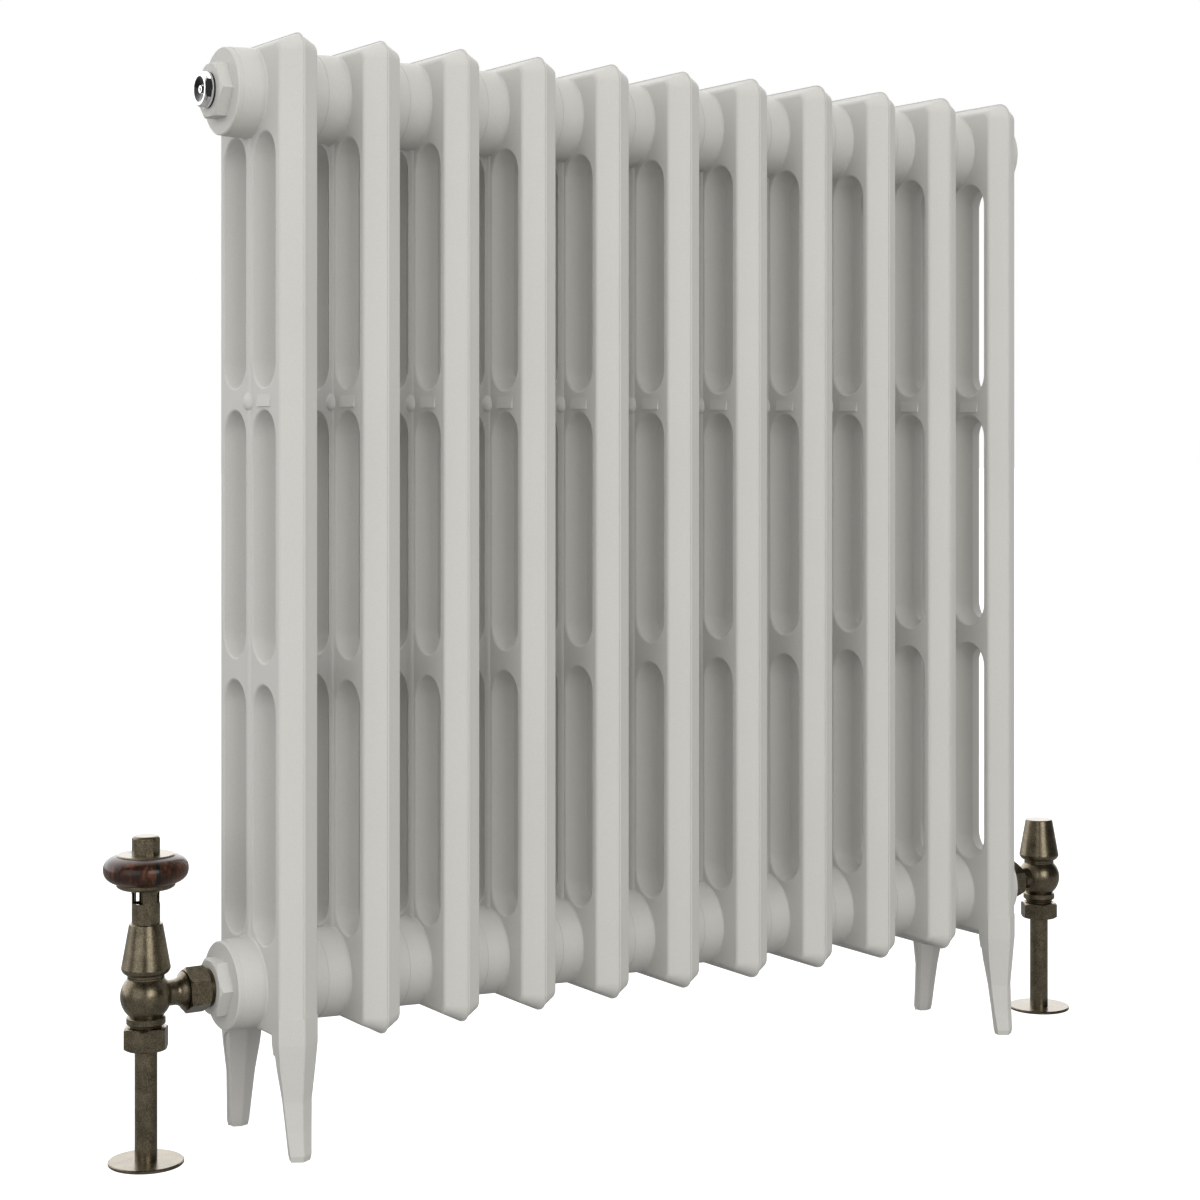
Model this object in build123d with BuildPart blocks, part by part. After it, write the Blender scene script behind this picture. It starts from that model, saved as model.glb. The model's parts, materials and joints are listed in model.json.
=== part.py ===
from build123d import *
import math
import os

# Cast iron column radiator: sections screwed together on hub nipples, four end bushes,
# an air vent, a blank plug, a thermostatic valve and a lockshield valve.
# Frame: origin on the floor under the middle of the row of sections, +X along the row,
# +Y towards the wall, +Z up. All sizes are in millimetres.

# ---------------------------------------------------------------- driving dimensions
SECTION_COUNT = 11
PITCH = 63.0                      # centre to centre of two sections
DEPTH = 116.0                     # front seam to rear seam
TOP_Z = 758.0                     # top of the row
BODY_BOTTOM_Z = 76.0              # underside of a section without feet
HALF_THICK = 14.4                 # parting plane to side face
SEAM_RISE = 0.5                   # how far the parting seam stands proud
SEAM_HALF = 0.5                   # half the width of the parting seam
FLANK_DEPTH = 9.9                 # bevel from side face to seam, front and rear
FLANK_TOP = 7.0                   # the same bevel at the top and underside
CORNER_R = 12.6
FACE_CORNER_R = 6.0
BODY_HEIGHT = TOP_Z - BODY_BOTTOM_Z
BODY_MID_Z = (TOP_Z + BODY_BOTTOM_Z) / 2

HUB_HIGH_Z = 721.4
HUB_LOW_Z = 112.0
HUBS = (HUB_HIGH_Z, HUB_LOW_Z)
BOSS_R = 30.35                    # boss radius at the joint
BOSS_ROOT_R = 31.0                # boss radius where it leaves the side face
BOSS_BLEND = 1.2                  # radius of the blend at the boss root
GASKET_THICK = 0.6
BOSS_END = PITCH / 2 - GASKET_THICK / 2
HUB_BORE_R = 21.0
THREAD_PLAY = 0.05                # radial play drawn in threaded pairs

SLOT_Y = 23.9                     # slot centre to radiator centre
SLOT_WIDE = 37.4                  # slot width at the side face
SLOT_NARROW = 22.4                # slot width at the parting plane
SLOT_END_DRAFT = 5.0              # how much shorter each slot end is at the parting plane
SLOT_RIM_R = 1.6                  # rounding of the slot rims
FACE_EDGE_R = 3.5                 # rounding between side face and flank
SLOT_LEVELS = ((519.2, 693.2), (332.3, 504.2), (141.0, 317.6))

BEAD_R = 5.3                      # rounded rib on the centre column
BEAD_RISE = 1.4
KNOT_Z = 510.0                    # swelling of the rib on the upper crossbar
KNOT_R = 6.0
KNOT_RISE = 4.0
KNOT_UP = 12.0
KNOT_DOWN = 6.6
PAD_Y = (-35.0, -14.0)            # raised casting pad beside the swelling
PAD_Z = (506.6, 514.7)
PAD_RISE = 1.1

COLUMN_Y = (-46.0, 0.0, 46.0)     # waterway centres
COLUMN_BORE_R = (5.7, 7.0, 5.7)
HEADER_BORE_R = 8.0

FOOT_RECESS = 1.3                 # hollow in a foot's side face
FOOT_RECESS_TOP = 70.0
FOOT_LIP = 1.0                    # edge left standing in front of the hollow

ROW_END_X = (SECTION_COUNT - 1) / 2 * PITCH   # plane of each end section
BUSH_FLANGE_R = 30.0
BUSH_FLANGE_END = 35.1            # distances along the hub axis from an end section's plane
BUSH_HEX_END = 44.0
BUSH_HEX_AF = 36.0
BUSH_BORE_R = 10.5
BUSH_SHANK_START = 16.0

VALVE_REACH = 89.1                # union start line to valve axis
UNION_DEPTH = {-1: 0.0, 1: 2.9}   # how much deeper each union is screwed in, by side
VALVE_X = {side: ROW_END_X + VALVE_REACH - deeper for side, deeper in UNION_DEPTH.items()}
PIPE_R = 7.5
PIPE_BORE_R = 6.8
PIPE_TOP_Z = 97.0
COLLAR_R = 25.2
COLLAR_HEIGHT = 2.3
NUT_Z = {-1: (76.6, 91.6), 1: (77.4, 90.2)}   # compression nut foot and top, by side
NUT_AF = 27.4
BALL_R = 17.1
NECK_R = 12.3
LOWER_NECK_R = 13.0
BODY_TOP_Z = 125.0
UNION_NUT = (47.1, 61.9)          # distances from the union start line
UNION_AF = 27.2

HEAD_TOP_Z = 160.7                # top of the cone-shaped shroud
CONE_LOW_R = 16.4
CONE_HIGH_R = 11.2
SLEEVE_R = 9.4
WINDOW_Z = (174.4, 183.0)
WINDOW_WIDTH = 9.0
WHEEL_LOW_DISC_Z = (184.2, 187.6)
WHEEL_DISC_R = 19.5
WOOD_Z = (187.6, 206.0)
WOOD_R = 28.3
CROWN_Z = (207.0, 219.2)
CROWN_R = 9.3
WHEEL_INDEX_DEG = -95.0           # direction of the wheel's index stripe
CAGE_LEG_DEG = -92.0

PIN_R = 2.0
VALVE_TRAVEL = 2.0                # lift of the thermostatic disc
LOCKSHIELD_TRAVEL = 3.0           # lift of the lockshield plug

os.makedirs("parts", exist_ok=True)


def save(piece, label):
    """Labels one finished piece and writes its STEP file."""
    piece.label = label
    export_step(piece, f"parts/{label}.step")


def upright(x):
    """Plane for (radius, height) outlines about the vertical axis at x."""
    return Plane(origin=(x, 0, 0), x_dir=(1, 0, 0), z_dir=(0, -1, 0))


def outward(side, z, start=ROW_END_X):
    """Plane for (radius, distance) outlines about a hub axis, from the start line outwards."""
    return Plane(origin=(side * start, 0, z), x_dir=(0, 0, 1), z_dir=(0, side, 0))


def turned(plane, *outline):
    """A lathe-turned solid: a closed outline revolved about the plane's Y axis."""
    with BuildPart() as lathe:
        with BuildSketch(plane):
            with BuildLine():
                Polyline(*outline, close=True)
            make_face()
        revolve(axis=Axis(plane.origin, plane.y_dir))
    return lathe.part


def tube(plane, bore_r, outer_r, start, end):
    """A plain tube or ring about the plane's Y axis."""
    return turned(plane, (bore_r, start), (outer_r, start), (outer_r, end), (bore_r, end))


def hex_nut(plane, across_flats, start, end, bore_r, bevel_start=True, bevel_end=True, turn=0):
    """A hexagon nut about the plane's Y axis, with its corners bevelled and a plain bore."""
    corner_r = across_flats / math.sqrt(3)
    bevel = corner_r - across_flats / 2
    low = bevel * 0.6 if bevel_start else 0
    high = bevel * 0.6 if bevel_end else 0
    base = Plane(plane.origin + plane.y_dir * start, x_dir=plane.x_dir, z_dir=plane.y_dir)
    with BuildPart() as nut:
        with BuildSketch(base):
            RegularPolygon(
                radius=across_flats / 2, side_count=6, major_radius=False, rotation=turn
            )
        extrude(amount=end - start)
        with BuildSketch(plane):
            with BuildLine():
                Polyline(
                    (0, start),
                    (corner_r - bevel if low else corner_r, start),
                    (corner_r, start + low + 0.01),
                    (corner_r, end - high - 0.01),
                    (corner_r - bevel if high else corner_r, end),
                    (0, end),
                    close=True,
                )
            make_face()
        revolve(axis=Axis(plane.origin, plane.y_dir), mode=Mode.INTERSECT)
        if bore_r:
            with BuildSketch(base):
                Circle(bore_r)
            extrude(amount=end - start, mode=Mode.SUBTRACT)
    return nut.part


# ---------------------------------------------------------------- section casting
def slot_cutters():
    """One mould half's slots: rounded ends, narrow at the parting plane, wide at the face."""
    with BuildPart() as cutters:
        for low, high in SLOT_LEVELS:
            for y in (-SLOT_Y, SLOT_Y):
                height = high - low
                with BuildSketch(Plane.YZ):
                    with Locations((y, (low + high) / 2)):
                        SlotOverall(height - 2 * SLOT_END_DRAFT, SLOT_NARROW, rotation=90)
                with BuildSketch(Plane.YZ.offset(HALF_THICK)):
                    with Locations((y, (low + high) / 2)):
                        SlotOverall(height, SLOT_WIDE, rotation=90)
                loft(ruled=True)
    return cutters.part


def boss_blends():
    """Concave rings between the side face and the roots of the hub bosses."""
    with BuildPart() as blends:
        for hub_z in HUBS:
            hub_plane = Plane(origin=(0, 0, hub_z), x_dir=(0, 0, 1), z_dir=(0, 1, 0))
            with BuildSketch(hub_plane):
                with BuildLine():
                    Polyline(
                        (BOSS_ROOT_R, HALF_THICK + BOSS_BLEND),
                        (BOSS_ROOT_R - 2, HALF_THICK + BOSS_BLEND),
                        (BOSS_ROOT_R - 2, HALF_THICK - FACE_EDGE_R),
                        (BOSS_ROOT_R + BOSS_BLEND, HALF_THICK - FACE_EDGE_R),
                        (BOSS_ROOT_R + BOSS_BLEND, HALF_THICK),
                    )
                    RadiusArc(
                        (BOSS_ROOT_R + BOSS_BLEND, HALF_THICK),
                        (BOSS_ROOT_R, HALF_THICK + BOSS_BLEND),
                        BOSS_BLEND,
                    )
                make_face()
            revolve(axis=Axis(hub_plane.origin, (1, 0, 0)))
        # Cut off level with the side face's own rounded edges, at the top and underside.
        with BuildSketch(Plane.YZ):
            with Locations((0, BODY_MID_Z)):
                Rectangle(DEPTH, BODY_HEIGHT - 2 * FLANK_TOP - FACE_EDGE_R)
        extrude(amount=PITCH, mode=Mode.INTERSECT)
    return blends.part


def half_body():
    """The half of a plain section on the +X side of the parting plane, without waterways."""
    slots = slot_cutters()
    with BuildPart() as half:
        with BuildSketch(Plane.YZ):
            with Locations((0, BODY_MID_Z)):
                RectangleRounded(
                    DEPTH - 2 * SEAM_RISE, BODY_HEIGHT - 2 * SEAM_RISE, CORNER_R - SEAM_RISE
                )
        with BuildSketch(Plane.YZ.offset(HALF_THICK)):
            with Locations((0, BODY_MID_Z)):
                RectangleRounded(
                    DEPTH - 2 * FLANK_DEPTH, BODY_HEIGHT - 2 * FLANK_TOP, FACE_CORNER_R
                )
        loft(ruled=True)
        fillet(half.faces().sort_by(Axis.X)[-1].edges(), FACE_EDGE_R)
        add(slots, mode=Mode.SUBTRACT)
        side_face = half.faces().filter_by(Plane.YZ).sort_by(Axis.X)[-1]
        fillet([edge for rim in side_face.inner_wires() for edge in rim.edges()], SLOT_RIM_R)
        # Rounded rib up the centre column and across the crossbars, from boss to boss.
        with Locations((HALF_THICK + BEAD_RISE - BEAD_R, 0, (HUB_LOW_Z + HUB_HIGH_Z) / 2)):
            Cylinder(BEAD_R, HUB_HIGH_Z - HUB_LOW_Z)
        # Drop-shaped swelling of the rib on the upper crossbar.
        knot_plane = Plane(
            origin=(HALF_THICK + KNOT_RISE - KNOT_R, 0, KNOT_Z), x_dir=(0, 1, 0), z_dir=(1, 0, 0)
        )
        with BuildSketch(knot_plane):
            with BuildLine():
                Line((0, -KNOT_DOWN), (0, KNOT_UP))
                Spline(
                    (0, KNOT_UP),
                    (KNOT_R, 0),
                    (0, -KNOT_DOWN),
                    tangents=((KNOT_R, -KNOT_UP), (-1, 0)),
                )
            make_face()
        revolve(axis=Axis(knot_plane.origin, (0, 0, 1)))
        # Casting pad in front of the swelling: flush at its top, a sharp ledge at its foot.
        with BuildSketch(Plane.XZ.offset(-PAD_Y[0])):
            with BuildLine():
                Polyline(
                    (HALF_THICK - 1, PAD_Z[0]),
                    (HALF_THICK + PAD_RISE, PAD_Z[0]),
                    (HALF_THICK, PAD_Z[1]),
                    (HALF_THICK - 1, PAD_Z[1]),
                    close=True,
                )
            make_face()
        extrude(amount=-(PAD_Y[1] - PAD_Y[0]))
        add(boss_blends())
        for hub_z in HUBS:
            hub_plane = Plane(origin=(0, 0, hub_z), x_dir=(0, 0, 1), z_dir=(0, 1, 0))
            with BuildSketch(hub_plane):
                with BuildLine():
                    Polyline(
                        (0, HALF_THICK - FLANK_DEPTH),
                        (BOSS_ROOT_R, HALF_THICK - FLANK_DEPTH),
                        (BOSS_ROOT_R, HALF_THICK),
                        (BOSS_R, BOSS_END),
                        (0, BOSS_END),
                        close=True,
                    )
                make_face()
            revolve(axis=Axis(hub_plane.origin, (1, 0, 0)))
        # The bosses end flush with the casting's top and underside.
        with BuildSketch(Plane.YZ):
            with Locations((0, BODY_MID_Z)):
                RectangleRounded(
                    DEPTH - 2 * SEAM_RISE, BODY_HEIGHT - 2 * SEAM_RISE, CORNER_R - SEAM_RISE
                )
        extrude(amount=PITCH, mode=Mode.INTERSECT)
    return half.part


# Each row of the foot's shape: height, front seam, rear seam (both from the front of the
# radiator), half thickness, front bevel depth and rear bevel depth.
FOOT_ROWS = (
    (96.0, 0.0, 26.0, 14.4, 9.9, 4.0),
    (78.0, 0.0, 24.6, 14.4, 9.9, 3.5),
    (60.0, 1.6, 22.4, 12.8, 8.9, 3.2),
    (40.0, 3.3, 19.2, 10.3, 7.2, 3.0),
    (20.0, 2.8, 16.2, 9.0, 5.4, 2.8),
    (4.0, 1.3, 14.3, 7.8, 4.4, 2.6),
    (0.0, 2.2, 13.4, 7.0, 3.9, 2.4),
)


def foot_hollows():
    """The shallow hollows down both side faces of a front foot, open towards the inside."""
    ridge = [
        (front + bevel_front + FOOT_LIP - DEPTH / 2, z)
        for z, front, _, _, bevel_front, _ in FOOT_ROWS
        if z < FOOT_RECESS_TOP - 8
    ]
    arch_end = (ridge[0][0] + 10, FOOT_RECESS_TOP)
    with BuildPart() as core:
        for z, _, _, half, _, _ in FOOT_ROWS:
            with BuildSketch(Plane.XY.offset(z)):
                with Locations((0, -DEPTH / 4)):
                    Rectangle(2 * (half - FOOT_RECESS), DEPTH / 2 + 10)
        loft(ruled=True)
    with BuildPart() as hollows:
        with BuildSketch(Plane.YZ.offset(-HALF_THICK - 1)):
            with BuildLine():
                TangentArc(ridge[0], arch_end, tangent=(0, 1))
                Polyline(arch_end, (0, FOOT_RECESS_TOP), (0, -1), (ridge[-1][0], -1), *ridge[::-1])
            make_face()
        extrude(amount=2 * (HALF_THICK + 1))
        add(core.part, mode=Mode.SUBTRACT)
    return hollows.part


def front_foot():
    """One front foot: a tapering six-sided leg, bevelled to its seams front and rear."""
    with BuildPart() as foot:
        for z, front, rear, half, bevel_front, bevel_rear in FOOT_ROWS:
            with BuildSketch(Plane.XY.offset(z)):
                with BuildLine():
                    Polyline(
                        (-SEAM_HALF, front - DEPTH / 2),
                        (SEAM_HALF, front - DEPTH / 2),
                        (half, front + bevel_front - DEPTH / 2),
                        (half, rear - bevel_rear - DEPTH / 2),
                        (SEAM_HALF, rear - DEPTH / 2),
                        (-SEAM_HALF, rear - DEPTH / 2),
                        (-half, rear - bevel_rear - DEPTH / 2),
                        (-half, front + bevel_front - DEPTH / 2),
                        close=True,
                    )
                make_face()
        loft(ruled=True)
        add(foot_hollows(), mode=Mode.SUBTRACT)
    return foot.part


def section_casting(with_feet):
    """A whole section: two mirrored halves, the parting seam, waterways and hub bores."""
    half = half_body()
    slots = slot_cutters()
    foot = front_foot()
    with BuildPart() as casting:
        add(half)
        mirror(about=Plane.YZ)
        with BuildSketch(Plane.YZ.offset(-SEAM_HALF)):
            with Locations((0, BODY_MID_Z)):
                RectangleRounded(DEPTH, BODY_HEIGHT, CORNER_R)
        extrude(amount=2 * SEAM_HALF)
        add(slots, mode=Mode.SUBTRACT)
        add(mirror(slots, about=Plane.YZ, mode=Mode.PRIVATE), mode=Mode.SUBTRACT)
        if with_feet:
            add(foot)
            add(mirror(foot, about=Plane.XZ, mode=Mode.PRIVATE))
        for hub_z in HUBS:
            with Locations((0, 0, hub_z)):
                Cylinder(HUB_BORE_R, PITCH, rotation=(0, 90, 0), mode=Mode.SUBTRACT)
                Cylinder(
                    HEADER_BORE_R,
                    COLUMN_Y[2] - COLUMN_Y[0],
                    rotation=(90, 0, 0),
                    mode=Mode.SUBTRACT,
                )
        for y, bore_r in zip(COLUMN_Y, COLUMN_BORE_R):
            with Locations((0, y, (HUB_LOW_Z + HUB_HIGH_Z) / 2)):
                Cylinder(bore_r, HUB_HIGH_Z - HUB_LOW_Z, mode=Mode.SUBTRACT)
    return casting.part


plain_section = section_casting(with_feet=False)
footed_section = section_casting(with_feet=True)
for index in range(SECTION_COUNT):
    at_end = index in (0, SECTION_COUNT - 1)
    casting = footed_section if at_end else plain_section
    x = (index - (SECTION_COUNT - 1) / 2) * PITCH
    save(casting.moved(Location((x, 0, 0))), f"section_{index + 1:02d}")


# ---------------------------------------------------------------- hub nipples and gaskets
JOINT_PLANES = [(index - (SECTION_COUNT - 2) / 2) * PITCH for index in range(SECTION_COUNT - 1)]
NIPPLE_R = HUB_BORE_R - THREAD_PLAY
NIPPLE_BORE_R = 15.0
NIPPLE_LENGTH = 38.0
NIPPLE_LUG = (3.0, 2.6)           # width and height of the two inner driving lugs
GASKET_OUTER_R = 30.1


def nipple(plane):
    """A threaded hub nipple with two driving lugs inside its bore."""
    start = -NIPPLE_LENGTH / 2
    base = Plane(plane.origin + plane.y_dir * start, x_dir=plane.x_dir, z_dir=plane.y_dir)
    with BuildPart() as body:
        with BuildSketch(base):
            Circle(NIPPLE_R)
            Circle(NIPPLE_BORE_R, mode=Mode.SUBTRACT)
            with PolarLocations(NIPPLE_BORE_R - NIPPLE_LUG[1] / 2 + 0.5, 2):
                Rectangle(NIPPLE_LUG[1] + 1, NIPPLE_LUG[0])
        extrude(amount=NIPPLE_LENGTH)
        chamfer(body.edges().filter_by(GeomType.CIRCLE).sort_by(SortBy.RADIUS)[-2:], 1.0)
    return body.part


for hub_z, level in ((HUB_HIGH_Z, "upper"), (HUB_LOW_Z, "lower")):
    planes = [Plane(origin=(x, 0, hub_z), x_dir=(0, 0, 1), z_dir=(0, 1, 0)) for x in JOINT_PLANES]
    save(Compound([nipple(plane) for plane in planes]), f"hub_nipples_{level}")
    half_gasket = GASKET_THICK / 2
    gaskets = [tube(plane, HUB_BORE_R, GASKET_OUTER_R, -half_gasket, half_gasket) for plane in planes]
    save(Compound(gaskets), f"hub_gaskets_{level}")

# ---------------------------------------------------------------- end bushes
BUSH_START = BOSS_END + GASKET_THICK
FLANGE_BEVEL = 0.8
SEAL_THICK = 1.5
TAIL_SEAL_R = 12.4                # seal ring let into the mouth of each lower bush


def end_bush(plane, mouth_r):
    """A reducing bush: threaded shank, round flange, hexagon, threaded bore and its mouth."""
    hexagon = hex_nut(
        plane, BUSH_HEX_AF, BUSH_FLANGE_END, BUSH_HEX_END, 0, bevel_start=False, turn=30
    )
    turned_body = turned(
        plane,
        (BUSH_BORE_R, BUSH_SHANK_START),
        (HUB_BORE_R - THREAD_PLAY - 1, BUSH_SHANK_START),
        (HUB_BORE_R - THREAD_PLAY, BUSH_SHANK_START + 1),
        (HUB_BORE_R - THREAD_PLAY, BUSH_START),
        (BUSH_FLANGE_R, BUSH_START),
        (BUSH_FLANGE_R, BUSH_FLANGE_END - FLANGE_BEVEL),
        (BUSH_FLANGE_R - FLANGE_BEVEL, BUSH_FLANGE_END),
        (BUSH_BORE_R, BUSH_FLANGE_END),
    )
    bore = tube(plane, 0, BUSH_BORE_R, BUSH_FLANGE_END - 1, BUSH_HEX_END + 1)
    mouth = tube(plane, 0, mouth_r, BUSH_HEX_END - SEAL_THICK, BUSH_HEX_END + 1)
    with BuildPart() as bush:
        add(turned_body)
        add(hexagon)
        add(bore, mode=Mode.SUBTRACT)
        add(mouth, mode=Mode.SUBTRACT)
    return bush.part


bush_gaskets = []
for hub_z, level, mouth_r in ((HUB_HIGH_Z, "upper", BUSH_BORE_R), (HUB_LOW_Z, "lower", TAIL_SEAL_R)):
    for side, hand in ((-1, "left"), (1, "right")):
        plane = outward(side, hub_z)
        save(end_bush(plane, mouth_r), f"end_bush_{level}_{hand}")
        bush_gaskets.append(tube(plane, HUB_BORE_R, GASKET_OUTER_R, BOSS_END, BUSH_START))
save(Compound(bush_gaskets), "end_bush_gaskets")

# ---------------------------------------------------------------- air vent and blank plug
VENT_PLANE = outward(-1, HUB_HIGH_Z)
VENT_SEAL_END = 45.5
VENT_FLANGE_END = 46.9
VENT_END = 51.2
VENT_R = 12.4
VENT_AF = 21.5
VENT_RECESS_R = 9.2
VENT_RECESS_FLOOR = 48.7
VENT_SCREW_R = 2.6
VENT_SCREW_BORE_R = 2.65
VENT_SCREW_START = 36.0
VENT_SCREW_HEAD = 50.3
VENT_PORT_R = 0.7
HALF_INCH_R = BUSH_BORE_R - THREAD_PLAY

vent_hexagon = hex_nut(VENT_PLANE, VENT_AF, VENT_FLANGE_END, VENT_END, 0, bevel_start=False)
vent_shank = turned(
    VENT_PLANE,
    (0, 32.0),
    (HALF_INCH_R - 1, 32.0),
    (HALF_INCH_R, 33.0),
    (HALF_INCH_R, VENT_SEAL_END),
    (VENT_R, VENT_SEAL_END),
    (VENT_R, VENT_FLANGE_END),
    (0, VENT_FLANGE_END),
)
vent_recess = turned(
    VENT_PLANE,
    (0, VENT_RECESS_FLOOR),
    (VENT_SCREW_BORE_R + 1, VENT_RECESS_FLOOR),
    (VENT_RECESS_R, VENT_END),
    (VENT_RECESS_R, VENT_END + 1),
    (0, VENT_END + 1),
)
vent_bore = tube(VENT_PLANE, 0, VENT_SCREW_BORE_R, VENT_SCREW_START - 0.4, VENT_END)
with BuildPart() as vent_body:
    add(vent_shank)
    add(vent_hexagon)
    add(vent_recess, mode=Mode.SUBTRACT)
    add(vent_bore, mode=Mode.SUBTRACT)
    # Water way from the bush into the needle seat, and the port that lets the air out below.
    with Locations((-ROW_END_X - 34.0, 0, HUB_HIGH_Z)):
        Cylinder(1.5, 6.0, rotation=(0, 90, 0), mode=Mode.SUBTRACT)
    with Locations((-ROW_END_X - 47.8, 0, HUB_HIGH_Z - VENT_AF / 4)):
        Cylinder(VENT_PORT_R, VENT_AF / 2 + 1, mode=Mode.SUBTRACT)
save(vent_body.part, "air_vent_body")

with BuildPart() as bleed_screw:
    add(tube(VENT_PLANE, 0, VENT_SCREW_R, VENT_SCREW_START + 2, VENT_SCREW_HEAD))
    add(
        turned(
            VENT_PLANE,
            (0, VENT_SCREW_START),
            (0.8, VENT_SCREW_START),
            (VENT_SCREW_R, VENT_SCREW_START + 2),
            (0, VENT_SCREW_START + 2),
        )
    )
    # Square key pocket in the outer end.
    with BuildSketch(Plane.YZ.offset(-ROW_END_X - VENT_SCREW_HEAD + 1.6)):
        with Locations((0, HUB_HIGH_Z)):
            Rectangle(2.4, 2.4)
    extrude(amount=-3, mode=Mode.SUBTRACT)
save(bleed_screw.part, "bleed_screw")

PLUG_PLANE = outward(1, HUB_HIGH_Z)
PLUG_END = 49.5
plug_body = turned(
    PLUG_PLANE,
    (0, 32.0),
    (HALF_INCH_R - 1, 32.0),
    (HALF_INCH_R, 33.0),
    (HALF_INCH_R, VENT_SEAL_END),
    (VENT_R, VENT_SEAL_END),
    (VENT_R, PLUG_END - 1.0),
    (VENT_R - 1.0, PLUG_END),
    (0, PLUG_END),
)
with BuildPart() as blank_plug:
    add(plug_body)
    # Hexagon key socket.
    with BuildSketch(Plane.YZ.offset(ROW_END_X + PLUG_END)):
        with Locations((0, HUB_HIGH_Z)):
            RegularPolygon(radius=5.0, side_count=6, major_radius=False)
    extrude(amount=-8, mode=Mode.SUBTRACT)
save(blank_plug.part, "blank_plug")
upper_seals = [
    tube(plane, HALF_INCH_R + 0.05, VENT_R - 0.4, BUSH_HEX_END, VENT_SEAL_END)
    for plane in (VENT_PLANE, PLUG_PLANE)
]
save(Compound(upper_seals), "vent_and_plug_seal_rings")

# ---------------------------------------------------------------- pieces common to both valves
BODY_CAVITY_R = 9.0
SEAT_Z = 103.0                    # top of the seat lip inside each valve body
SEAT_R = 5.2
SOCKET_R = PIPE_R + 0.1
SOCKET_FLOOR_Z = PIPE_TOP_Z + 0.3
NUT_NECK_Z = 90.0                 # bottom of the external thread above the nut
THREAD_TOP_Z = 93.4
NECK_TOP_Z = 98.2
THREAD_R = 11.5
THREAD_PITCH = 1.5
STUB_R = 8.6                      # horizontal branch of the valve body
STUB_FLANGE = (62.0, 65.1)        # flared end of the branch, against the union nut
STUB_FLANGE_R = 13.0
STUB_SEAT = 54.9
BRANCH_BORE_R = 7.0
TAIL_COLLAR = (49.9, 54.6)
TAIL_R = 9.4
TAIL_SHOULDER_R = 12.9
OLIVE_Z = (85.0, 90.6)


def branch_plane(side):
    """Plane for (radius, distance) outlines about a valve's branch, from its union start line."""
    return outward(side, HUB_LOW_Z, ROW_END_X - UNION_DEPTH[side])


def ball_radius(z):
    """Radius of the valve body's ball at height z."""
    return math.sqrt(BALL_R**2 - (z - HUB_LOW_Z) ** 2)


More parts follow.
